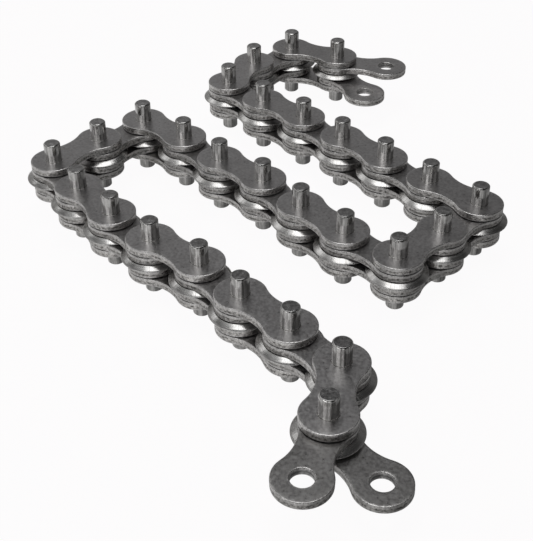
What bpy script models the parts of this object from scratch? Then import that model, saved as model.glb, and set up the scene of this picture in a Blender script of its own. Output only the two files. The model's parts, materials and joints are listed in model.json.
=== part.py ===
"""Roller chain with long pins and V-edged rollers, laid out flat in three
zigzag rows.

The pins stand upright along Z with their feet at z = 0.  Outer and inner
links take turns along the chain, starting and ending with an outer one.  A
V-edged roller turns on every pin, and a pair of loose end plates hangs on
the first and on the last pin.  Back is +Y, front is -Y.

Every link is its own object with its origin on the pin it swings about, and
is parented to the link that carries it, so turning a link about its Z axis
articulates the rest of that side of the chain.  A middle outer link is the
root, and the world origin is the foot of its first pin.

Facets stand in for the round surfaces.
"""

import math
from contextlib import contextmanager

import bpy
import bmesh
from mathutils import Matrix

MM = 0.001

# ---------------------------------------------------------------- dimensions
PITCH = 25.4 * MM  # pin to pin, one inch

PLATE_THICKNESS = 3.05 * MM  # outer, inner and end plates alike
HEAD_RADIUS = 9.95 * MM  # round plate heads
WAIST_HALF_WIDTH = 6.8 * MM  # half of the narrow middle of a plate

PIN_RADIUS = 3.55 * MM
PIN_STUB = 8.2 * MM  # pin standing proud of each outer plate
PIN_CHAMFER = 0.45 * MM

PLATE_GAP = 0.35 * MM  # between an outer and an inner plate
INNER_WIDTH = 3.4 * MM  # between the two inner plates

BUSH_RADIUS = 5.1 * MM
BUSH_BORE_RADIUS = 3.85 * MM

ROLLER_RIM_RADIUS = 12.4 * MM  # tip of the V edge
ROLLER_FACE_RADIUS = 9.95 * MM  # where the cone meets the flat face
ROLLER_THICKNESS = 2.8 * MM
ROLLER_BORE_RADIUS = 5.5 * MM  # turns on a bush
END_ROLLER_BORE_RADIUS = 3.9 * MM  # turns straight on the first and last pin

END_PLATE_HOLE_RADIUS = 3.95 * MM  # a loose fit on the pin

# Levels above the pin feet.  A plate's level is its underside.
LOWER_OUTER_Z = PIN_STUB
LOWER_INNER_Z = LOWER_OUTER_Z + PLATE_THICKNESS + PLATE_GAP
ROLLER_MID_Z = LOWER_INNER_Z + PLATE_THICKNESS + INNER_WIDTH / 2
UPPER_INNER_Z = ROLLER_MID_Z + INNER_WIDTH / 2
UPPER_OUTER_Z = UPPER_INNER_Z + PLATE_THICKNESS + PLATE_GAP
PIN_LENGTH = UPPER_OUTER_Z + PLATE_THICKNESS + PIN_STUB

# Facets.
HEAD_SEGMENTS = 8  # along the arc of one plate head
WAIST_SEGMENTS = 3  # along one hollow side of a plate
BAR_SEGMENTS = 12  # round pins, bushes, bores and holes
ROLLER_SEGMENTS = 16

# Mesh clean-up and shading.
WELD_DISTANCE = 1e-6  # vertices closer than this become one
LEVEL_TOLERANCE = 1e-7  # height difference allowed in a level edge
FLAT_ANGLE = 0.001  # radians; faces within it merge into one
SCREW_WELD_DISTANCE = 1e-5
SHARP_ANGLE = math.radians(31)  # edges bent further than this stay sharp

# -------------------------------------------------------------------- layout
# Way each link lies, in degrees from +X, walking from the back end of the
# chain to the front end.  Link n joins pin n and pin n + 1.
HEADINGS = (
    154, 220, 241,  # back end and first turn
    -49, -43, -49, -47, -48, -46,  # back row, running towards +X -Y
    -134, -138,  # turn at the +X side
    139, 131, 127, 137, 131, 140,  # middle row, running towards -X +Y
    223, 227,  # turn at the -X side
    -58, -51, -47, -39, -52, -46, -49,  # front row, running towards +X -Y
    -103,  # front end
)
FIRST_LINK = 1
LAST_LINK = len(HEADINGS)
PIN_COUNT = LAST_LINK + 1
ROOT_LINK = 15

# Loose end plates: name, carrying link, level, heading in degrees from +X.
END_PLATES = (
    ("end_plate_back_upper", FIRST_LINK, "upper", -14),
    ("end_plate_back_lower", FIRST_LINK, "lower", -60),
    ("end_plate_front_upper", LAST_LINK, "upper", -111),
    ("end_plate_front_lower", LAST_LINK, "lower", -52),
)


# -------------------------------------------------------------- scene helpers
def clear_scene():
    for obj in list(bpy.data.objects):
        bpy.data.objects.remove(obj, do_unlink=True)


def new_material(name, colour, roughness):
    material = bpy.data.materials.new(name)
    material.use_nodes = True
    shader = material.node_tree.nodes["Principled BSDF"]
    shader.inputs["Base Color"].default_value = (*colour, 1.0)
    shader.inputs["Metallic"].default_value = 1.0
    shader.inputs["Roughness"].default_value = roughness
    return material


def add_helper(name, data):
    """Temporary object, removed once its result has been baked."""
    helper = bpy.data.objects.new(name, data)
    bpy.context.scene.collection.objects.link(helper)
    helper.hide_render = True
    return helper


def bake(helper):
    """New mesh of a helper as it stands with its modifiers applied."""
    bpy.context.view_layer.update()
    graph = bpy.context.evaluated_depsgraph_get()
    return bpy.data.meshes.new_from_object(helper.evaluated_get(graph))


@contextmanager
def editing(mesh):
    """Opens a mesh as a BMesh and writes it back at the end of the block."""
    edit = bmesh.new()
    edit.from_mesh(mesh)
    yield edit
    edit.to_mesh(mesh)
    edit.free()


def finish_mesh(mesh, name, material):
    mesh.name = name
    mesh.materials.clear()
    mesh.materials.append(material)
    mesh.shade_smooth()
    mesh.set_sharp_from_angle(angle=SHARP_ANGLE)
    return mesh


# ------------------------------------------------------------------- outlines
def arc(centre_x, centre_y, radius, start, end, segments):
    """Points along an arc, both ends included."""
    angles = [start + (end - start) * i / segments for i in range(segments + 1)]
    return [
        (centre_x + radius * math.cos(angle), centre_y + radius * math.sin(angle))
        for angle in angles
    ]


def circle(centre_x, radius):
    return arc(centre_x, 0.0, radius, 0.0, 2 * math.pi, BAR_SEGMENTS)[:-1]


def plate_outline():
    """Waisted figure-eight: two round heads joined by two hollow sides."""
    half = PITCH / 2
    # Radius that makes each hollow side tangent to both heads.
    hollow = (half**2 + WAIST_HALF_WIDTH**2 - HEAD_RADIUS**2) / (
        2 * (HEAD_RADIUS - WAIST_HALF_WIDTH)
    )
    hollow_y = WAIST_HALF_WIDTH + hollow
    # Angle, seen from the head at x = 0, at which its arc meets the hollow.
    meet = math.atan2(hollow_y, half)
    far_head = arc(
        PITCH, 0.0, HEAD_RADIUS, meet - math.pi, math.pi - meet, HEAD_SEGMENTS
    )
    near_head = arc(0.0, 0.0, HEAD_RADIUS, meet, 2 * math.pi - meet, HEAD_SEGMENTS)
    plus_y_side = arc(half, hollow_y, hollow, -meet, meet - math.pi, WAIST_SEGMENTS)
    minus_y_side = arc(half, -hollow_y, hollow, math.pi - meet, meet, WAIST_SEGMENTS)
    # The sides share their end points with the heads.
    return far_head + plus_y_side[1:-1] + near_head + minus_y_side[1:-1]


# --------------------------------------------------------------- basic solids
def plate_mesh(name, underside_z, holes=()):
    """Closed plate with the common outline and any hole outlines given."""
    curve = bpy.data.curves.new(name, "CURVE")
    curve.dimensions = "2D"
    curve.fill_mode = "BOTH"
    curve.extrude = PLATE_THICKNESS / 2
    for outline in (plate_outline(), *holes):
        spline = curve.splines.new("POLY")
        spline.points.add(len(outline) - 1)
        for point, (x, y) in zip(spline.points, outline):
            point.co = (x, y, 0.0, 1.0)
        spline.use_cyclic_u = True
    holder = add_helper(name, curve)
    mesh = bake(holder)
    bpy.data.objects.remove(holder, do_unlink=True)
    bpy.data.curves.remove(curve)
    with editing(mesh) as edit:
        bmesh.ops.remove_doubles(edit, verts=edit.verts, dist=WELD_DISTANCE)
        if not holes:
            # One flat face on each side, so that a Boolean meets no extra edges.
            bmesh.ops.dissolve_limit(
                edit, angle_limit=FLAT_ANGLE, verts=edit.verts, edges=edit.edges
            )
        bmesh.ops.recalc_face_normals(edit, faces=edit.faces)
        lift = (0.0, 0.0, underside_z + PLATE_THICKNESS / 2)
        bmesh.ops.translate(edit, verts=edit.verts, vec=lift)
    return mesh


def bar_mesh(name, x, radius, bottom_z, top_z, chamfer=0.0):
    """Round upright bar, with a chamfer round both ends if asked."""
    mesh = bpy.data.meshes.new(name)
    with editing(mesh) as edit:
        bmesh.ops.create_cone(
            edit,
            cap_ends=True,
            segments=BAR_SEGMENTS,
            radius1=radius,
            radius2=radius,
            depth=top_z - bottom_z,
            matrix=Matrix.Translation((x, 0.0, (bottom_z + top_z) / 2)),
        )
        if chamfer:
            rims = [
                edge
                for edge in edit.edges
                if abs(edge.verts[0].co.z - edge.verts[1].co.z) < LEVEL_TOLERANCE
            ]
            bmesh.ops.bevel(
                edit, geom=rims, offset=chamfer, segments=1, affect="EDGES", profile=0.5
            )
    return mesh


def bar_pair(name, radius, bottom_z, top_z, chamfer=0.0):
    """The same bar at both pin places of a link."""
    return [
        bar_mesh(f"{name}_{suffix}", x, radius, bottom_z, top_z, chamfer)
        for suffix, x in (("a", 0.0), ("b", PITCH))
    ]


def combine(name, base, steps):
    """Applies Boolean steps (operation, mesh) to a base mesh, one by one."""
    body = add_helper(name, base)
    helpers = [body]
    for operation, mesh in steps:
        tool = add_helper(mesh.name, mesh)
        helpers.append(tool)
        modifier = body.modifiers.new(operation.lower(), "BOOLEAN")
        modifier.operation = operation
        modifier.solver = "EXACT"
        modifier.object = tool
    result = bake(body)
    for helper in helpers:
        bpy.data.objects.remove(helper, do_unlink=True)
    with editing(result) as edit:
        bmesh.ops.remove_doubles(edit, verts=edit.verts, dist=WELD_DISTANCE)
    return result


# ------------------------------------------------------------- the four parts
def outer_link_mesh(material):
    """Two outer plates and two long pins joined into one rigid link."""
    lower = plate_mesh("outer_lower", LOWER_OUTER_Z)
    upper = plate_mesh("outer_upper", UPPER_OUTER_Z)
    pins = bar_pair("pin", PIN_RADIUS, 0.0, PIN_LENGTH, PIN_CHAMFER)
    steps = [("UNION", mesh) for mesh in (*pins, upper)]
    return finish_mesh(combine("outer_link", lower, steps), "outer_link", material)


def inner_link_mesh(material):
    """Two inner plates joined by two bushes, bored through for the pins."""
    lower = plate_mesh("inner_lower", LOWER_INNER_Z)
    upper = plate_mesh("inner_upper", UPPER_INNER_Z)
    # The bushes end halfway into each plate.
    sunk = PLATE_THICKNESS / 2
    bushes = bar_pair("bush", BUSH_RADIUS, LOWER_INNER_Z + sunk, UPPER_INNER_Z + sunk)
    # The bores run on past both plates for a clean cut.
    past = PLATE_THICKNESS
    bores = bar_pair(
        "bore",
        BUSH_BORE_RADIUS,
        LOWER_INNER_Z - past,
        UPPER_INNER_Z + PLATE_THICKNESS + past,
    )
    steps = [("UNION", mesh) for mesh in (*bushes, upper)]
    steps += [("DIFFERENCE", bore) for bore in bores]
    return finish_mesh(combine("inner_link", lower, steps), "inner_link", material)


def end_plate_mesh(name, underside_z, material):
    """Loose plate with two bare holes."""
    holes = [circle(x, END_PLATE_HOLE_RADIUS) for x in (0.0, PITCH)]
    return finish_mesh(plate_mesh(name, underside_z, holes), name, material)


def roller_mesh(name, bore_radius, material):
    """Flat ring with a V edge, turned about Z: a closed profile and a Screw."""
    half = ROLLER_THICKNESS / 2
    profile = [  # radius, height from the roller's mid-plane
        (bore_radius, half),
        (ROLLER_FACE_RADIUS, half),
        (ROLLER_RIM_RADIUS, 0.0),
        (ROLLER_FACE_RADIUS, -half),
        (bore_radius, -half),
    ]
    line = bpy.data.meshes.new(name + "_profile")
    with editing(line) as edit:
        points = [edit.verts.new((x, 0.0, z)) for x, z in profile]
        for start, end in zip(points, points[1:] + points[:1]):
            edit.edges.new((start, end))
    holder = add_helper(name, line)
    screw = holder.modifiers.new("turn", "SCREW")
    screw.axis = "Z"
    screw.angle = 2 * math.pi
    screw.steps = ROLLER_SEGMENTS
    screw.render_steps = ROLLER_SEGMENTS
    screw.use_merge_vertices = True
    screw.merge_threshold = SCREW_WELD_DISTANCE
    mesh = bake(holder)
    bpy.data.objects.remove(holder, do_unlink=True)
    with editing(mesh) as edit:
        bmesh.ops.recalc_face_normals(edit, faces=edit.faces)
    return finish_mesh(mesh, name, material)


# ------------------------------------------------------------------- assembly
def place(name, mesh, collection, parent, x, turn, z=0.0):
    """Puts a piece on its parent: x along the parent, turned about Z."""
    obj = bpy.data.objects.new(name, mesh)
    collection.objects.link(obj)
    obj.parent = parent
    obj.location = (x, 0.0, z)
    obj.rotation_euler = (0.0, 0.0, math.radians(turn))
    return obj


def link_name(link):
    """Odd links are outer ones, even links are inner ones."""
    if link % 2:
        return f"outer_link_{(link + 1) // 2:02d}"
    return f"inner_link_{link // 2:02d}"


def own_heading(link):
    """World direction of a link's own +X, which points away from the root."""
    return HEADINGS[link - 1] + (180 if link < ROOT_LINK else 0)


def place_links(chain, outer, inner):
    """Places all links, outwards from the root; returns them by number."""
    links = {
        ROOT_LINK: place(
            link_name(ROOT_LINK), outer, chain, None, 0.0, own_heading(ROOT_LINK)
        )
    }
    forward = range(ROOT_LINK + 1, LAST_LINK + 1)
    backward = range(ROOT_LINK - 1, FIRST_LINK - 1, -1)
    for link in (*forward, *backward):
        carrier = link - 1 if link > ROOT_LINK else link + 1
        # The first backward link swings about the root's own origin.
        x = 0.0 if link == ROOT_LINK - 1 else PITCH
        turn = own_heading(link) - own_heading(carrier)
        mesh = outer if link % 2 else inner
        links[link] = place(link_name(link), mesh, chain, links[carrier], x, turn)
    return links


def place_rollers(chain, links, roller, end_roller):
    """Inner links carry the rollers, but outer links carry the end ones."""
    for pin in range(1, PIN_COUNT + 1):
        inner_link = pin - pin % 2
        carrier = min(max(inner_link, FIRST_LINK), LAST_LINK)
        far_pin = carrier + 1 if carrier > ROOT_LINK else carrier
        place(
            f"roller_{pin:02d}",
            end_roller if pin in (1, PIN_COUNT) else roller,
            chain,
            links[carrier],
            PITCH if pin == far_pin else 0.0,
            0.0,
            ROLLER_MID_Z,
        )


def place_end_plates(chain, links, meshes):
    """Hangs the loose plates on the outermost pins of the end links."""
    for name, carrier, level, heading in END_PLATES:
        turn = heading - own_heading(carrier)
        place(name, meshes[level], chain, links[carrier], PITCH, turn)


def build():
    clear_scene()
    chain = bpy.data.collections.new("roller_chain")
    bpy.context.scene.collection.children.link(chain)

    outer_steel = new_material(
        "outer_link_steel", colour=(0.26, 0.255, 0.25), roughness=0.42
    )
    inner_steel = new_material(
        "inner_link_steel", colour=(0.27, 0.265, 0.26), roughness=0.45
    )
    end_steel = new_material(
        "end_plate_steel", colour=(0.24, 0.235, 0.23), roughness=0.45
    )
    roller_steel = new_material(
        "roller_steel", colour=(0.62, 0.61, 0.6), roughness=0.22
    )

    outer = outer_link_mesh(outer_steel)
    inner = inner_link_mesh(inner_steel)
    roller = roller_mesh("roller", ROLLER_BORE_RADIUS, roller_steel)
    end_roller = roller_mesh("end_roller", END_ROLLER_BORE_RADIUS, roller_steel)
    end_plates = {
        "upper": end_plate_mesh("upper_end_plate", UPPER_INNER_Z, end_steel),
        "lower": end_plate_mesh("lower_end_plate", LOWER_INNER_Z, end_steel),
    }

    links = place_links(chain, outer, inner)
    place_rollers(chain, links, roller, end_roller)
    place_end_plates(chain, links, end_plates)
    bpy.context.view_layer.update()


build()
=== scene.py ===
# Looks of a roller chain that lies flat on the floor: its pins stand along +Z
# and its links run from pin to pin in the XY plane.  Every link of the CAD is
# one fused node, so each is replaced by its real pieces: separate plates,
# pins, bushes and rollers, each with rounded edges and its own worn steel.

import json
import math
import random

import bmesh
import bpy
from mathutils import Matrix, Vector


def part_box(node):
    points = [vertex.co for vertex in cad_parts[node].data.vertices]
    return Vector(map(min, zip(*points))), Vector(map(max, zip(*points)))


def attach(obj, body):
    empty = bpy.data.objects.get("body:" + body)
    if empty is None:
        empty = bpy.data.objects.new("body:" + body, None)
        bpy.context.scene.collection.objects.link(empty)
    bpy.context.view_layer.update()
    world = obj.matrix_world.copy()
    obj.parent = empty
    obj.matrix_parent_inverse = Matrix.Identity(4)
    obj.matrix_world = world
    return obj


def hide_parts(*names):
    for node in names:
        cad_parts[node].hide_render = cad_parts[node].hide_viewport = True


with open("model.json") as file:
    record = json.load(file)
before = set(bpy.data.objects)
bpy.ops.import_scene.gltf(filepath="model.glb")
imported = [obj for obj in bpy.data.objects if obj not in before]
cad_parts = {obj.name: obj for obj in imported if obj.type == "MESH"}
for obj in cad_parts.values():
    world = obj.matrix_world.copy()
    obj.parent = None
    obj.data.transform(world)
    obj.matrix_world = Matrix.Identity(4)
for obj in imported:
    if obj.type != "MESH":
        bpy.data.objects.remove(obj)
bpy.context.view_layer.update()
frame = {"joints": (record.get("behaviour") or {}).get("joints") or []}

MM = 0.001  # sizes are in millimetres, the scene is in metres
rng = random.Random(28)

# --------------------------------------------------------------- sizes, in mm
HEAD_RADIUS = 9.95  # round ends of a plate
WAIST_HALF_WIDTH = 6.8
PLATE_THICKNESS = 3.05
FLAT_INSET = 1.5  # where a plate's flat face begins, in from its outline
PIN_RADIUS = 3.55
PIN_STUB = 8.2  # how far a pin stands out beyond the outer plates
PIN_CHAMFER = 0.5
BUSH_RADIUS = 5.1
BUSH_BORE_RADIUS = 3.85
ROLLER_RIM_RADIUS = 12.4
ROLLER_FACE_RADIUS = 9.95
ROLLER_THICKNESS = 2.8
ROLLER_BORE_RADIUS = 5.5
END_ROLLER_BORE_RADIUS = 3.9
END_PLATE_HOLE_RADIUS = 3.95
FIT_OVERLAP = 0.01  # a plate hole is this much tighter than its pin or bush
TIGHT_MOUTH, OPEN_MOUTH = 0.22, 0.34  # rounding at the mouth of a plate hole

HEAD_STEPS, WAIST_STEPS, HOLE_STEPS = 44, 16, 48
PIN_STEPS, BUSH_STEPS, ROLLER_STEPS = 64, 48, 112

# Places and lengths read from the CAD.
joints = {j["name"]: j for j in frame["joints"]}
PIN_COUNT = sum(1 for name in joints if name.startswith("roller_"))
PIN_XY = {
    k: Vector(joints[f"roller_{k:02d}_spin"]["pos_m"][:2]) for k in range(1, PIN_COUNT + 1)
}
ROLLER_MID_Z = joints["roller_01_spin"]["pos_m"][2] / MM
PITCH = (PIN_XY[2] - PIN_XY[1]).length / MM
LOWER_INNER_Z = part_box("end_plate_back_lower")[0].z / MM
UPPER_INNER_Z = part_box("end_plate_back_upper")[0].z / MM
PIN_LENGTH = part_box("outer_link_01")[1].z / MM
LOWER_OUTER_Z = PIN_STUB
UPPER_OUTER_Z = PIN_LENGTH - PIN_STUB - PLATE_THICKNESS


# ------------------------------------------------------------------- outlines
def waist_radius():
    """Radius of the hollow that runs smoothly into both heads of a plate."""
    half = PITCH / 2
    return (half**2 + WAIST_HALF_WIDTH**2 - HEAD_RADIUS**2) / (
        2 * (HEAD_RADIUS - WAIST_HALF_WIDTH)
    )


def arc(centre_x, centre_y, radius, start, end, segments):
    return [
        (
            centre_x + radius * math.cos(start + (end - start) * i / segments),
            centre_y + radius * math.sin(start + (end - start) * i / segments),
        )
        for i in range(segments + 1)
    ]


def circle(centre_x, radius, steps=HOLE_STEPS):
    return arc(centre_x, 0.0, radius, 0.0, 2 * math.pi, steps)[:-1]


def plate_outline(inset):
    """The plate's outline moved inwards by inset; always the same count."""
    waist = waist_radius()
    half = PITCH / 2
    waist_y = WAIST_HALF_WIDTH + waist
    meet = math.atan2(waist_y, half)
    head, hollow = HEAD_RADIUS - inset, waist + inset
    right = arc(PITCH, 0.0, head, meet - math.pi, math.pi - meet, HEAD_STEPS)
    upper = arc(half, waist_y, hollow, -meet, meet - math.pi, WAIST_STEPS)
    left = arc(0.0, 0.0, head, meet, 2 * math.pi - meet, HEAD_STEPS)
    lower = arc(half, -waist_y, hollow, math.pi - meet, meet, WAIST_STEPS)
    return right + upper[1:-1] + left + lower[1:-1]


def rounded(points, radii, steps):
    """A closed 2-D profile with its corners rounded by the radii given."""
    profile = []
    for i, radius in enumerate(radii):
        here = Vector(points[i])
        before = (Vector(points[i - 1]) - here).normalized()
        after = (Vector(points[(i + 1) % len(points)]) - here).normalized()
        half = before.angle(after) / 2
        back = radius / math.tan(half)
        centre = here + (before + after).normalized() * (radius / math.sin(half))
        first = here + before * back - centre
        last = here + after * back - centre
        turn = math.atan2(first.x * last.y - first.y * last.x, first.dot(last))
        start = math.atan2(first.y, first.x)
        for step in range(steps + 1):
            angle = start + turn * step / steps
            profile.append(
                (centre.x + radius * math.cos(angle), centre.y + radius * math.sin(angle))
            )
    return profile


# --------------------------------------------------------------- mesh helpers
# Vertex attributes read by the materials: "wear" is 1 on rubbed edges,
# which plates and pins lighten for wear and a painted highlight, "wall" is 1 on edge
# walls and 0 on flat faces, "hole" is 1 in and round plate holes.
def new_mesh(*attributes):
    bm = bmesh.new()
    for name in attributes:
        bm.verts.layers.float.new(name)
    return bm


def add_ring(bm, outline, z, **marks):
    """Vertices along an outline at height z, with their attribute values."""
    ring = [bm.verts.new((x * MM, y * MM, z * MM)) for x, y in outline]
    for name, value in marks.items():
        layer = bm.verts.layers.float[name]
        for vert in ring:
            vert[layer] = value
    return ring


def bridge(bm, ring_a, ring_b):
    """Faces between two rings; a ring of one vertex is the tip of a fan."""
    if len(ring_a) == 1 or len(ring_b) == 1:
        tip, loop = (ring_a[0], ring_b) if len(ring_a) == 1 else (ring_b[0], ring_a)
        for i in range(len(loop)):
            bm.faces.new((tip, loop[i], loop[(i + 1) % len(loop)]))
        return
    for i in range(len(ring_a)):
        j = (i + 1) % len(ring_a)
        bm.faces.new((ring_a[i], ring_a[j], ring_b[j], ring_b[i]))


def cap(bm, loops):
    """A flat face between one outer loop and any holes."""
    edges = set()
    for loop in loops:
        for i in range(len(loop)):
            edges.add(bm.edges.get((loop[i], loop[(i + 1) % len(loop)])))
    bmesh.ops.triangle_fill(bm, edges=list(edges), use_beauty=True)


def finish_mesh(bm, name, material, sharp_degrees):
    bmesh.ops.recalc_face_normals(bm, faces=bm.faces)
    mesh = bpy.data.meshes.new(name)
    bm.to_mesh(mesh)
    bm.free()
    mesh.shade_smooth()
    mesh.set_sharp_from_angle(angle=math.radians(sharp_degrees))
    mesh.materials.append(material)
    return mesh


# --------------------------------------------------------------------- plates
def edge_profile():
    """Profile of a punched edge: (inset, z, wear, wall) from top to bottom.

    The punch side is rolled over softly, the upper part of the wall is
    burnished, the lower part is torn and steps in a little.
    """
    top = PLATE_THICKNESS
    roll, roll_drop = 0.34, 0.022
    burr, torn_inset = 0.26, 0.07
    points = [
        (FLAT_INSET, top, 0.0, 0.0),
        (FLAT_INSET * 0.6, top - 0.004, 0.05, 0.0),
        (roll + 0.1, top - roll_drop, 0.35, 0.0),
    ]
    for i in range(6):
        angle = math.radians(8 + 82 * i / 5)
        inset = roll - roll * math.sin(angle)
        z = top - roll_drop - roll * (1 - math.cos(angle))
        points.append((inset, z, 1.0 if 1 <= i <= 4 else 0.7, 0.0 if i < 3 else 0.5))
    points += [
        (0.0, top * 0.62, 0.1, 1.0),
        (0.05, top * 0.55, 0.0, 1.0),
        (torn_inset, top * 0.3, 0.0, 1.0),
    ]
    for i in range(5):
        angle = math.radians(90 * i / 4)
        inset = torn_inset + burr * (1 - math.cos(angle))
        z = burr * (1 - math.sin(angle))
        points.append((inset, z, 0.9 if 1 <= i <= 3 else 0.4, 0.5 if i < 3 else 0.0))
    points += [(0.9, 0.0, 0.2, 0.0), (FLAT_INSET, 0.0, 0.0, 0.0)]
    return points


def hole_profile(mouth):
    """Profile of a hole: (distance outside its radius, z, wear, wall), top down."""
    top = PLATE_THICKNESS
    collar, low_mouth = 0.95, 0.2
    points = [(collar, top, 0.0, 0.0), (mouth + 0.14, top - 0.004, 0.35, 0.0)]
    for i in range(5):
        angle = math.radians(90 * i / 4)
        out, drop = mouth * (1 - math.sin(angle)), mouth * (1 - math.cos(angle))
        points.append((out, top - drop, 0.9, 0.3))
    points.append((0.0, top * 0.5, 0.0, 1.0))
    for i in range(4):
        angle = math.radians(90 * i / 3)
        out, z = low_mouth * (1 - math.cos(angle)), low_mouth * (1 - math.sin(angle))
        points.append((out, z, 0.8, 0.3))
    points.append((collar, 0.0, 0.0, 0.0))
    return points


def plate_mesh(name, material, hole_radius, mouth, face_up):
    """A waisted plate with rounded, punched edges and two holes."""
    bm = new_mesh("wear", "wall", "hole")

    def level(z):
        return z if face_up else PLATE_THICKNESS - z

    def skin(rings):
        for ring_a, ring_b in zip(rings, rings[1:]):
            bridge(bm, ring_a, ring_b)
        return rings[0], rings[-1]

    top, bottom = skin([
        add_ring(bm, plate_outline(inset), level(z), wear=wear, wall=wall)
        for inset, z, wear, wall in edge_profile()
    ])
    top_loops, bottom_loops = [top], [bottom]
    for centre_x in (0.0, PITCH):
        top, bottom = skin([
            add_ring(
                bm, circle(centre_x, hole_radius + out), level(z),
                wear=wear, wall=wall, hole=1.0 if out < 0.6 else 0.0,
            )
            for out, z, wear, wall in hole_profile(mouth)
        ])
        top_loops.append(top)
        bottom_loops.append(bottom)
    cap(bm, top_loops)
    cap(bm, bottom_loops)
    return finish_mesh(bm, name, material, 60)


# -------------------------------------------------------------- turned pieces
def turned_mesh(name, material, profile, steps, marks, sharp_degrees):
    """A turned piece from a profile of (radius, z).

    A profile that starts on the axis ends there too and is a solid bar; any
    other one is a closed loop.  marks(radius, z) gives (wear, wall).
    """
    bm = new_mesh("wear", "wall")
    rings = []
    for radius, z in profile:
        outline = circle(0.0, radius, steps) if radius else [(0.0, 0.0)]
        wear, wall = marks(radius, z)
        rings.append(add_ring(bm, outline, z, wear=wear, wall=wall))
    pairs = list(zip(rings, rings[1:]))
    if profile[0][0]:
        pairs.append((rings[-1], rings[0]))
    for ring_a, ring_b in pairs:
        bridge(bm, ring_a, ring_b)
    return finish_mesh(bm, name, material, sharp_degrees)


def pin_mesh(name, material):
    """A ground pin with a chamfer at both ends and faintly dished faces."""
    radius, length = PIN_RADIUS, PIN_LENGTH
    shoulder = radius - PIN_CHAMFER
    low = [  # (radius, z), from the axis over the chamfer to the body
        (0.0, 0.05), (0.9, 0.045), (1.9, 0.02), (2.6, 0.0),
        (shoulder - 0.12, 0.0),
        (shoulder, 0.015),
        (shoulder + 0.1, 0.09),
        (radius - 0.13, PIN_CHAMFER - 0.17),
        (radius - 0.035, PIN_CHAMFER - 0.05),
        (radius, PIN_CHAMFER + 0.08),
        (radius, PIN_CHAMFER + 0.35),
    ]
    body_levels = (
        PIN_STUB * 0.5, PIN_STUB, length / 2, length - PIN_STUB, length - PIN_STUB * 0.5,
    )
    body = [(radius, z) for z in body_levels]
    high = [(x, length - z) for x, z in reversed(low)]

    def marks(x, z):
        from_end = min(z, length - z)
        on_corner = shoulder - 0.05 < x < shoulder + 0.12 and from_end < 0.6
        on_face = from_end < 0.06 and x < shoulder + 0.05
        return 1.0 if on_corner else 0.0, 0.0 if on_face else 1.0

    return turned_mesh(name, material, low + body + high, PIN_STEPS, marks, 60)


def bush_mesh(name, material):
    height = UPPER_INNER_Z + PLATE_THICKNESS - LOWER_INNER_Z
    corners = [
        (BUSH_BORE_RADIUS, height),
        (BUSH_RADIUS, height),
        (BUSH_RADIUS, 0.0),
        (BUSH_BORE_RADIUS, 0.0),
    ]
    profile = rounded(corners, [0.25, 0.2, 0.2, 0.25], 3)
    return turned_mesh(name, material, profile, BUSH_STEPS, lambda radius, z: (0.0, 1.0), 50)


def roller_mesh(name, material, bore):
    """A thin ring whose rim runs out to a V, with turned cones."""
    half = ROLLER_THICKNESS / 2
    corners = [
        (bore, half),
        (ROLLER_FACE_RADIUS, half),
        (ROLLER_RIM_RADIUS + 0.06, 0.0),
        (ROLLER_FACE_RADIUS, -half),
        (bore, -half),
    ]
    rough_profile = rounded(corners, [0.3, 0.25, 0.16, 0.25, 0.3], 4)
    # Two more rings on each cone and on the bore wall keep the long faces even.
    profile = []
    for a, b in zip(rough_profile, rough_profile[1:] + rough_profile[:1]):
        profile.append(a)
        if math.dist(a, b) > 1.2 and abs(a[1] - b[1]) > 0.3:
            for k in (1, 2):
                profile.append((a[0] + (b[0] - a[0]) * k / 3, a[1] + (b[1] - a[1]) * k / 3))

    def marks(radius, z):
        return (
            1.0 if radius > ROLLER_RIM_RADIUS - 0.35 else 0.0,
            1.0 if radius > ROLLER_FACE_RADIUS - 0.05 else 0.0,
        )

    return turned_mesh(name, material, profile, ROLLER_STEPS, marks, 60)


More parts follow.
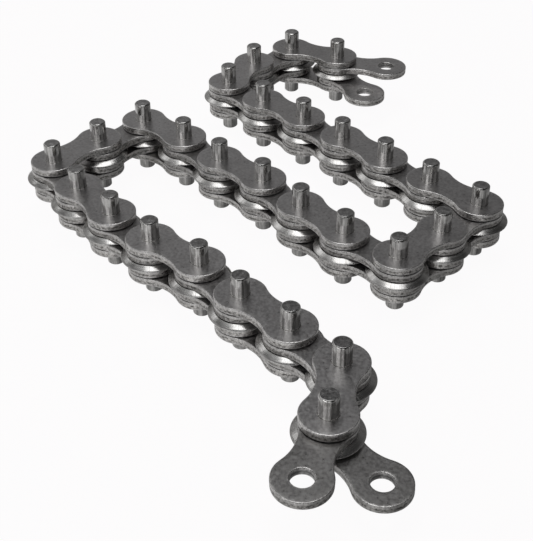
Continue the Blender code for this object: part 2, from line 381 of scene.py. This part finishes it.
# ------------------------------------------------------------------ materials
class Nodes:
    """Adds and links the shader nodes of a material or a world."""

    def __init__(self, owner):
        owner.use_nodes = True
        self.tree = owner.node_tree
        self.tree.nodes.clear()

    def add(self, kind, *values, **settings):
        """A node with its settings and the values of its first inputs."""
        node = self.tree.nodes.new(kind)
        for key, value in settings.items():
            setattr(node, key, value)
        for socket, value in zip(node.inputs, values):
            self.put(socket, value)
        return node

    def put(self, socket, value):
        if isinstance(value, bpy.types.NodeSocket):
            self.tree.links.new(value, socket)
        else:
            socket.default_value = value

    def math(self, operation, a, b=0.0, c=0.0, clamp=False):
        node = self.add("ShaderNodeMath", a, b, c, operation=operation, use_clamp=clamp)
        return node.outputs[0]

    def times(self, value, by):
        return self.math("MULTIPLY", value, by)

    def plus(self, base, value, gain):
        """base + value * gain"""
        return self.math("MULTIPLY_ADD", value, gain, base)

    def vector(self, operation, a, b=(0, 0, 0)):
        node = self.add("ShaderNodeVectorMath", a, b, operation=operation)
        return node.outputs[1 if operation == "LENGTH" else 0]

    def scaled(self, vector, factor):
        scaled = self.vector("SCALE", vector)
        self.put(scaled.node.inputs["Scale"], factor)
        return scaled

    def flat(self, vector):
        return self.vector("MULTIPLY", vector, (1.0, 1.0, 0.0))

    def combine(self, x=0.0, y=0.0, z=0.0):
        return self.add("ShaderNodeCombineXYZ", x, y, z).outputs[0]

    def separate(self, vector):
        return self.add("ShaderNodeSeparateXYZ", vector).outputs

    def stretch(self, vector, scale, turn=0.0, shift=(0.0, 0.0, 0.0)):
        node = self.add("ShaderNodeMapping", vector)
        node.inputs["Location"].default_value = shift
        node.inputs["Rotation"].default_value = (0.0, 0.0, turn)
        node.inputs["Scale"].default_value = scale
        return node.outputs[0]

    def noise(self, vector, scale, detail=3.0, rough=0.6):
        node = self.add("ShaderNodeTexNoise")
        self.put(node.inputs["Vector"], vector)
        node.inputs["Scale"].default_value = scale
        node.inputs["Detail"].default_value = detail
        node.inputs["Roughness"].default_value = rough
        return node.outputs[0]

    def remap(self, value, span, to=(0.0, 1.0), smooth=False):
        node = self.add("ShaderNodeMapRange", value, *span, *to, clamp=True)
        if smooth:
            node.interpolation_type = "SMOOTHSTEP"
        return node.outputs[0]

    def mix(self, share, under, over):
        """Colour mix: all under at share 0, all over at share 1."""
        node = self.add("ShaderNodeMix", share, data_type="RGBA")
        for socket, colour in ((node.inputs[6], under), (node.inputs[7], over)):
            is_socket = isinstance(colour, bpy.types.NodeSocket)
            self.put(socket, colour if is_socket else (*colour, 1.0))
        return node.outputs[2]

    def blend(self, share, under, over):
        """The same mix for plain numbers."""
        return self.add("ShaderNodeMix", share, None or 0.0, under, over, data_type="FLOAT") \
            .outputs[0] if False else self._blend(share, under, over)

    def _blend(self, share, under, over):
        node = self.add("ShaderNodeMix", share, data_type="FLOAT")
        self.put(node.inputs[2], under)
        self.put(node.inputs[3], over)
        return node.outputs[0]

    def attribute(self, name):
        return self.add("ShaderNodeAttribute", attribute_name=name).outputs["Fac"]

    def random(self):
        return self.add("ShaderNodeObjectInfo").outputs["Random"]

    def millimetres(self):
        """Piece coordinates in mm: plain, and shifted differently on every piece."""
        coords = self.add("ShaderNodeTexCoord").outputs["Object"]
        own = self.scaled(coords, 1000.0)
        shift = self.times(self.random(), by=431.0)
        offset = self.combine(shift, self.times(shift, by=0.37))
        return own, self.vector("ADD", own, offset)

    def finish(self, colour, roughness, height, bump_mm, anisotropic=0.0, turn=0.0):
        """Metal surface; anisotropic stretches highlights round the piece's axis."""
        bump = self.add("ShaderNodeBump")
        bump.inputs["Strength"].default_value = 1.0
        bump.inputs["Distance"].default_value = bump_mm * MM
        self.put(bump.inputs["Height"], height)
        shader = self.add("ShaderNodeBsdfPrincipled")
        self.put(shader.inputs["Base Color"], colour)
        self.put(shader.inputs["Roughness"], roughness)
        shader.inputs["Metallic"].default_value = 1.0
        self.put(shader.inputs["Normal"], bump.outputs[0])
        if anisotropic:
            tangent = self.add("ShaderNodeTangent", direction_type="RADIAL", axis="Z")
            shader.inputs["Anisotropic"].default_value = anisotropic
            shader.inputs["Anisotropic Rotation"].default_value = turn
            self.put(shader.inputs["Tangent"], tangent.outputs[0])
        self.add("ShaderNodeOutputMaterial", shader.outputs[0])


def plate_steel(name, tone, warmth=0.0):
    """Tumbled steel plate: mottled faces, rims lightened by wear and a painted highlight, torn
    walls.
    """
    material = bpy.data.materials.new(name)
    n = Nodes(material)
    own, mm = n.millimetres()
    wear, wall = n.attribute("wear"), n.attribute("wall")

    def shade(*parts):
        return tuple(tone * part for part in parts)

    def grey(part):
        return shade(part, part, part)

    cloud = n.noise(mm, scale=0.16, rough=0.55)
    mottle = n.noise(mm, scale=0.9, detail=4.0, rough=0.62)
    grain = n.noise(mm, scale=3.6)
    # Long shallow scratches in three directions, thresholded to thin lines.
    lines = None
    for angle, seed in ((0.5, 0.0), (-0.9, 7.0), (2.0, 13.0)):
        along = n.stretch(mm, scale=(0.22, 3.4, 0.6), turn=angle, shift=(seed, seed * 0.7, 0.0))
        line = n.remap(n.noise(along, scale=1.0, detail=2.0, rough=0.5), span=(0.66, 0.74))
        lines = line if lines is None else n.math("MAXIMUM", lines, line)
    pits = n.add("ShaderNodeTexVoronoi")
    n.put(pits.inputs["Vector"], mm)
    pits.inputs["Scale"].default_value = 0.42
    pit = n.remap(pits.outputs["Distance"], span=(0.05, 0.16), to=(1.0, 0.0), smooth=True)

    # Torn wall: coarser grain than on the faces.
    torn = n.noise(n.stretch(mm, scale=(0.8, 0.8, 1.1)), scale=1.05, detail=4.0, rough=0.75)
    patch = n.noise(mm, scale=0.2)

    chip = n.remap(n.noise(mm, scale=1.25, rough=0.7), span=(0.4, 0.58))
    rim_rub_and_highlight = n.math("MULTIPLY", wear, chip, clamp=True)
    own_tone = n.remap(n.random(), span=(0.0, 1.0), to=(0.93, 1.07))

    dark = shade(0.92, 0.895, 0.9 - 0.02 * warmth)
    light = shade(1.1, 1.075, 1.08 - 0.02 * warmth)
    face = n.mix(n.remap(cloud, span=(0.3, 0.7)), dark, light)
    face = n.mix(n.remap(mottle, span=(0.45, 0.72), to=(0.0, 0.45)), face, over=grey(1.5))
    face = n.mix(n.remap(mottle, span=(0.5, 0.3), to=(0.0, 0.4)), face, over=grey(0.62))
    face = n.mix(n.remap(grain, span=(0.5, 0.74), to=(0.0, 0.42)), face, over=grey(0.55))
    face = n.mix(n.times(lines, by=0.22), face, over=grey(1.6))
    face = n.mix(n.times(pit, by=0.22), face, over=grey(0.4))

    side = n.mix(
        n.remap(torn, span=(0.42, 0.58)),
        under=shade(0.26, 0.25, 0.24),
        over=shade(1.55, 1.51, 1.46),
    )
    patches = n.remap(patch, span=(0.42, 0.6), to=(0.0, 0.42))
    side = n.mix(patches, side, over=shade(0.62, 0.6, 0.57))
    # The punch leaves a smooth bright band under the upper edge, above the torn part.
    ragged = n.plus(n.separate(own)[2], n.math("SUBTRACT", patch, 0.5), gain=1.6)
    ragged = n.plus(ragged, n.math("SUBTRACT", torn, 0.5), gain=0.9)
    sheared = n.remap(ragged, span=(PLATE_THICKNESS * 0.56, PLATE_THICKNESS * 0.66))
    drag = n.noise(n.stretch(mm, scale=(1.6, 1.6, 0.12)), scale=1.0)
    smooth = n.mix(
        n.remap(drag, span=(0.38, 0.64)),
        under=shade(1.72, 1.69, 1.64),
        over=shade(0.95, 0.93, 0.9),
    )
    side = n.mix(n.times(sheared, by=0.85), side, smooth)
    # Painted shade: the walls in and round the plate holes are darkened.
    side = n.mix(n.times(n.attribute("hole"), by=0.8), side, over=grey(0.3))

    colour = n.scaled(n.mix(wall, face, side), own_tone)
    # Rubbed rims are lightened: real wear plus a painted highlight along the rim.
    rim_rub_highlight_colour = tuple(min(tone * 2.3, 0.88) * part for part in (1.0, 0.985, 0.965))
    colour = n.mix(n.times(rim_rub_and_highlight, by=0.85), colour, rim_rub_highlight_colour)

    mottle_rough = n.times(n.remap(mottle, span=(0.3, 0.7)), by=0.12)
    rough = n.math("ADD", 0.27, mottle_rough)
    rough = n.blend(n.times(lines, by=0.5), rough, over=0.26)
    torn_rough = n.remap(torn, span=(0.4, 0.6), to=(0.46, 0.28))
    drag_rough = n.remap(drag, span=(0.35, 0.65), to=(0.22, 0.34))
    rough = n.blend(wall, rough, n.blend(sheared, torn_rough, drag_rough))
    rough = n.blend(n.times(rim_rub_and_highlight, by=0.8), rough, over=0.24)

    height = n.plus(n.times(grain, by=0.22), mottle, gain=0.5)
    height = n.plus(height, lines, gain=-0.12)
    height = n.plus(height, pit, gain=-0.2)
    torn_height = n.plus(n.times(grain, by=0.5), torn, gain=2.6)
    band_height = n.plus(1.5, drag, gain=0.5)
    wall_height = n.blend(n.times(sheared, by=0.85), torn_height, band_height)
    height = n.blend(n.times(wall, by=0.8), height, wall_height)
    n.finish(colour, rough, height, bump_mm=0.035)
    return material


def pin_steel(name):
    """Ground pin: bright round body, darker end faces with turned rings."""
    material = bpy.data.materials.new(name)
    n = Nodes(material)
    own, mm = n.millimetres()
    wear, wall = n.attribute("wear"), n.attribute("wall")
    radius = n.vector("LENGTH", n.flat(own))

    # Grinding marks run round the body; dark streaks run along it, partly drawing marks and
    # partly painted reflection streaks.
    ground = n.noise(n.stretch(mm, scale=(0.16, 0.16, 6.0)), scale=1.0)
    drawn_and_reflection_noise = n.noise(n.stretch(mm, scale=(1.3, 1.3, 0.06)), scale=1.0, detail=2.0)
    blotch = n.noise(mm, scale=0.55)
    grain = n.noise(mm, scale=3.2)
    rings = n.combine(n.times(radius, by=5.0), n.random())
    turned = n.noise(rings, scale=1.0, detail=2.0, rough=0.5)

    body = n.mix(
        n.remap(blotch, span=(0.3, 0.7)), under=(0.52, 0.515, 0.5), over=(0.8, 0.79, 0.775)
    )
    # Dark streaks along the body: drawing marks plus painted reflection streaks.
    drawn_and_reflection_mask = n.remap(drawn_and_reflection_noise, span=(0.4, 0.7), to=(0.0, 0.7), smooth=True)
    body = n.mix(drawn_and_reflection_mask, body, over=(0.24, 0.235, 0.228))
    specks = n.remap(grain, span=(0.56, 0.72), to=(0.0, 0.3))
    body = n.mix(specks, body, over=(0.22, 0.215, 0.21))
    end = n.mix(
        n.remap(blotch, span=(0.35, 0.65)), under=(0.34, 0.335, 0.335), over=(0.62, 0.615, 0.615)
    )
    end_specks = n.remap(grain, span=(0.48, 0.68), to=(0.0, 0.6))
    end = n.mix(end_specks, end, over=(0.16, 0.16, 0.16))
    colour = n.mix(wall, end, body)
    # The end corners are lightened: wear plus a painted highlight along the pin's rim.
    colour = n.mix(n.times(wear, by=0.5), colour, over=(0.72, 0.71, 0.7))

    rough = n.remap(ground, span=(0.3, 0.7), to=(0.1, 0.17))
    rough = n.blend(n.remap(drawn_and_reflection_noise, span=(0.5, 0.7), to=(0.0, 0.5)), rough, over=0.28)
    rough = n.blend(wall, n.remap(blotch, span=(0.3, 0.7), to=(0.18, 0.28)), rough)
    rough = n.blend(n.times(wear, by=0.6), rough, over=0.2)

    side_height = n.plus(n.times(grain, by=0.06), ground, gain=0.25)
    end_height = n.plus(n.times(blotch, by=1.3), turned, gain=0.6)
    height = n.blend(wall, end_height, side_height)
    n.finish(colour, rough, height, bump_mm=0.02, anisotropic=0.15, turn=0.25)
    return material


def roller_steel(name):
    """Bright turned ring: fine grooves run round the cones and the faces."""
    material = bpy.data.materials.new(name)
    n = Nodes(material)
    own, mm = n.millimetres()
    wear, wall = n.attribute("wear"), n.attribute("wall")
    radius = n.vector("LENGTH", n.flat(own))
    rings = n.combine(
        n.times(radius, by=3.0), n.times(n.separate(own)[2], by=3.0), n.random()
    )
    groove = n.noise(rings, scale=1.6)
    blotch = n.noise(mm, scale=0.35)
    grain = n.noise(mm, scale=2.6)
    # Dark streaks that run straight across the rim, from outer edge to face: painted reflection
    # streaks in the cone's highlight.
    spoke = n.scaled(n.vector("NORMALIZE", n.flat(own)), 17.0)
    shift = n.combine(z=n.times(n.random(), by=97.0))
    reflection_streak_noise = n.noise(n.vector("ADD", spoke, shift), scale=1.1, rough=0.7)

    cone = n.mix(
        n.remap(groove, span=(0.3, 0.7)), under=(0.54, 0.53, 0.52), over=(0.8, 0.795, 0.785)
    )
    blotches = n.remap(blotch, span=(0.42, 0.7), to=(0.0, 0.5))
    cone = n.mix(blotches, cone, over=(0.4, 0.39, 0.375))
    # Painted reflection streaks: dark lines that break up the cone's highlight.
    painted_reflection_lines = n.remap(reflection_streak_noise, span=(0.44, 0.7), to=(0.0, 0.4), smooth=True)
    cone = n.mix(painted_reflection_lines, cone, over=(0.32, 0.31, 0.3))
    face = n.mix(
        n.remap(blotch, span=(0.3, 0.7)), under=(0.30, 0.295, 0.29), over=(0.42, 0.415, 0.405)
    )
    colour = n.mix(wall, face, cone)
    specks = n.remap(grain, span=(0.6, 0.8), to=(0.0, 0.35))
    colour = n.mix(specks, colour, over=(0.3, 0.29, 0.28))

    rough = n.remap(n.blend(0.4, groove, reflection_streak_noise), span=(0.35, 0.65), to=(0.13, 0.28))
    rough = n.blend(wall, 0.4, rough)
    rough = n.blend(n.times(wear, by=0.6), rough, over=0.32)
    height = n.plus(n.times(grain, by=0.2), groove, gain=0.8)
    n.finish(colour, rough, height, bump_mm=0.014, anisotropic=0.55)
    return material


OUTER = plate_steel("outer_plate_steel", tone=0.5)
INNER = plate_steel("inner_plate_steel", tone=0.46)
LOOSE_BACK = plate_steel("loose_back_plate_steel", tone=0.57)
LOOSE_FRONT = plate_steel("loose_front_plate_steel", tone=0.33, warmth=1.0)
PIN = pin_steel("pin_ground_steel")
BUSH = pin_steel("bush_steel")
ROLLER = roller_steel("roller_turned_steel")

# --------------------------------------------------------------------- meshes
MESHES = {}
for kind, steel, hole_radius, mouth in (
    ("outer_plate", OUTER, PIN_RADIUS - FIT_OVERLAP, TIGHT_MOUTH),
    ("inner_plate", INNER, BUSH_RADIUS - FIT_OVERLAP, TIGHT_MOUTH),
    ("back_loose_plate", LOOSE_BACK, END_PLATE_HOLE_RADIUS, OPEN_MOUTH),
    ("front_loose_plate", LOOSE_FRONT, END_PLATE_HOLE_RADIUS, OPEN_MOUTH),
):
    for side in ("up", "down"):
        name = f"{kind}_{side}"
        MESHES[name] = plate_mesh(name, steel, hole_radius, mouth, side == "up")
MESHES["pin"] = pin_mesh("pin", PIN)
MESHES["bush"] = bush_mesh("bush", BUSH)
MESHES["roller"] = roller_mesh("roller", ROLLER, ROLLER_BORE_RADIUS)
MESHES["end_roller"] = roller_mesh("end_roller", ROLLER, END_ROLLER_BORE_RADIUS)


# --------------------------------------------------------------------- pieces
def piece(name, mesh, xy, z, turn, node):
    """One real piece, placed in the row frame, riding its CAD body."""
    obj = bpy.data.objects.new(name, MESHES[mesh])
    bpy.context.scene.collection.objects.link(obj)
    place = Matrix.Translation((xy[0], xy[1], z * MM))
    obj.matrix_world = place @ Matrix.Rotation(turn, 4, "Z")
    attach(obj, node)
    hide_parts(node)


# Per kind of link: lower and upper plate z, its round piece, that piece's z and slot.
LINKS = {
    "outer": (LOWER_OUTER_Z, UPPER_OUTER_Z, "pin", 0.0, "pin_steel"),
    "inner": (LOWER_INNER_Z, UPPER_INNER_Z, "bush", LOWER_INNER_Z, "inner_link_steel"),
}
for link in range(1, PIN_COUNT):
    kind = "outer" if link % 2 else "inner"
    lower_z, upper_z, bar, bar_z, bar_slot = LINKS[kind]
    number = (link + 1) // 2
    node = f"{kind}_link_{number:02d}"
    step = PIN_XY[link + 1] - PIN_XY[link]
    turn = math.atan2(step.y, step.x)
    for level, side, z in (("upper", "up", upper_z), ("lower", "down", lower_z)):
        name = f"{kind}_plate_{level}_{number:02d}"
        piece(name, f"{kind}_plate_{side}", PIN_XY[link], z, turn, node)
    for k in (link, link + 1):
        turn = rng.uniform(0, 2 * math.pi)
        piece(f"{bar}_{k:02d}", bar, PIN_XY[k], bar_z, turn, node)

for k in range(1, PIN_COUNT + 1):
    mesh = "end_roller" if k in (1, PIN_COUNT) else "roller"
    turn = rng.uniform(0, 6.28)
    name = f"roller_{k:02d}"
    piece(f"v_{name}", mesh, PIN_XY[k], ROLLER_MID_Z, turn, name)

for end, k in (("back", 1), ("front", PIN_COUNT)):
    for level, side in (("upper", "up"), ("lower", "down")):
        node = f"end_plate_{end}_{level}"
        low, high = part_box(node)
        way = (low + high) / 2 - Vector((*PIN_XY[k], 0.0))
        turn = math.atan2(way.y, way.x)
        name, mesh = f"loose_plate_{end}_{level}", f"{end}_loose_plate_{side}"
        piece(name, mesh, PIN_XY[k], low.z / MM, turn, node)

# ---------------------------------------------------------------------- stage
# Floor brightness by the heading of the ray that meets it, in degrees:
# 0 runs towards -Y, 90 towards +X.  Brightest at -X +Y, darkest at +X -Y.
FLOOR_SHARES = (
    (-180, 0.6), (-135, 1.15), (-105, 0.85), (-75, 0.68), (-45, 0.95), (-15, 1.0),
    (15, 0.66), (40, 0.3), (100, 0.36), (150, 0.45), (180, 0.6),
)


def floor_material():
    """An even pale floor to the camera, an uneven one to what mirrors it."""
    material = bpy.data.materials.new("pale_floor")
    n = Nodes(material)
    coords = n.add("ShaderNodeTexCoord").outputs["Object"]
    tone = n.noise(coords, scale=3.0, detail=2.0, rough=0.5)
    white = n.mix(
        n.remap(tone, span=(0.3, 0.7)), under=(0.83, 0.825, 0.83), over=(0.87, 0.865, 0.87)
    )
    towards = n.separate(n.add("ShaderNodeNewGeometry").outputs["Incoming"])
    turn = n.math("ARCTAN2", n.times(towards[0], by=-1.0), towards[1])
    around = n.add("ShaderNodeValToRGB", n.plus(0.5, turn, gain=0.5 / math.pi))
    ramp = around.color_ramp
    ramp.interpolation = "B_SPLINE"
    while len(ramp.elements) < len(FLOOR_SHARES):
        ramp.elements.new(0.5)
    # All places are set before any colour, so each colour lands on its own stop.
    for stop, (angle, _) in zip(ramp.elements, FLOOR_SHARES):
        stop.position = angle / 360.0 + 0.5
    for stop, (_, share) in zip(ramp.elements, FLOOR_SHARES):
        stop.color = (share, share, share, 1.0)

    def shader(kind, *values):
        return n.add(kind, *values).outputs[0]

    share = around.outputs[0]
    lift_strength, glow_strength = 0.24, 0.955
    lit = shader("ShaderNodeBsdfDiffuse", n.vector("MULTIPLY", white, share))
    lift = shader("ShaderNodeEmission", share, lift_strength)
    mirrored = shader("ShaderNodeAddShader", lit, lift)
    dim = shader("ShaderNodeBsdfDiffuse", (0.05, 0.05, 0.05, 1.0))
    glow = shader("ShaderNodeEmission", (1.0, 0.992, 0.996, 1.0), glow_strength)
    seen = shader("ShaderNodeAddShader", dim, glow)
    from_camera = n.add("ShaderNodeLightPath").outputs["Is Camera Ray"]
    surface = shader("ShaderNodeMixShader", from_camera, mirrored, seen)
    n.add("ShaderNodeOutputMaterial", surface)
    return material


def floor():
    mesh = bpy.data.meshes.new("floor")
    bm = bmesh.new()
    bmesh.ops.create_grid(bm, x_segments=1, y_segments=1, size=4.0)
    bm.to_mesh(mesh)
    bm.free()
    obj = bpy.data.objects.new("floor", mesh)
    obj.location = (0.0, 0.0, -0.0001)
    bpy.context.scene.collection.objects.link(obj)
    mesh.materials.append(floor_material())


def surroundings():
    """A pale low wall that darkens upwards, towards +X and towards the camera at -Y."""
    world = bpy.data.worlds.new("studio")
    bpy.context.scene.world = world
    n = Nodes(world)
    x, y, up = n.separate(n.add("ShaderNodeTexCoord").outputs["Generated"])
    glow = n.remap(up, span=(0.42, 0.7), to=(0.3, 0.085), smooth=True)
    glow = n.times(glow, by=n.remap(x, span=(-0.2, 0.6), to=(1.0, 0.4), smooth=True))
    glow = n.times(glow, by=n.remap(y, span=(-0.45, 0.1), to=(0.4, 1.0), smooth=True))
    background = n.add("ShaderNodeBackground", (1.0, 0.99, 0.985, 1.0), glow)
    n.add("ShaderNodeOutputWorld", background.outputs[0])


def soft_box(name, place, target, size, radiance):
    lamp = bpy.data.lights.new(name, "AREA")
    lamp.shape = "RECTANGLE"
    lamp.size, lamp.size_y = size
    lamp.energy = radiance * math.pi * size[0] * size[1]
    obj = bpy.data.objects.new(name, lamp)
    obj.location = place
    way = Vector(target) - Vector(place)
    obj.rotation_euler = way.to_track_quat("-Z", "Y").to_euler()
    bpy.context.scene.collection.objects.link(obj)


CENTRE = (0.0, 0.0, 0.0)
# Name, place, target and size in metres, radiance.
SOFT_BOXES = (
    ("overhead", (0.0, 0.06, 1.05), (0.0, 0.06, 0.0), (0.6, 0.8), 1.75),
    ("overhead_skirt", (-0.35, 0.0, 1.08), (-0.35, 0.0, 0.0), (0.8, 1.0), 0.22),
    ("back_left", (-0.75, 0.7, 0.95), CENTRE, (0.6, 0.45), 0.9),
    ("left", (-1.05, -0.15, 0.75), CENTRE, (1.0, 0.6), 0.3),
    ("front_left", (-0.75, -0.85, 0.72), CENTRE, (0.8, 0.55), 1.7),
    ("front", (0.02, -1.15, 0.84), CENTRE, (0.5, 0.45), 1.3),
    ("right", (1.0, -0.6, 0.62), CENTRE, (0.8, 0.45), 0.3),
)

floor()
surroundings()
for box in SOFT_BOXES:
    soft_box(*box)

# --------------------------------------------------------------------- camera
CAMERA_PLACE = (0.0011, -0.3813, 0.2591)
CAMERA_TILT = math.radians(36.629)  # down from level, looking towards +Y
CAMERA_ROLL = math.radians(-0.654)

lens = bpy.data.cameras.new("camera")
lens.sensor_width = 36.0
lens.lens = 70.4734935
lens.clip_start, lens.clip_end = 0.01, 20.0
camera = bpy.data.objects.new("camera", lens)
bpy.context.scene.collection.objects.link(camera)
ahead = Vector((0.0, math.cos(CAMERA_TILT), -math.sin(CAMERA_TILT)))
right = Vector((1.0, 0.0, 0.0))
over = Vector((0.0, math.sin(CAMERA_TILT), math.cos(CAMERA_TILT)))
x_axis = right * math.cos(CAMERA_ROLL) + over * math.sin(CAMERA_ROLL)
y_axis = over * math.cos(CAMERA_ROLL) - right * math.sin(CAMERA_ROLL)
turned_to = Matrix((x_axis, y_axis, -ahead)).transposed().to_4x4()
camera.matrix_world = Matrix.Translation(CAMERA_PLACE) @ turned_to
bpy.context.scene.camera = camera

bpy.context.scene.view_settings.view_transform = "Standard"
bpy.context.scene.view_settings.look = "None"

bpy.context.view_layer.update()
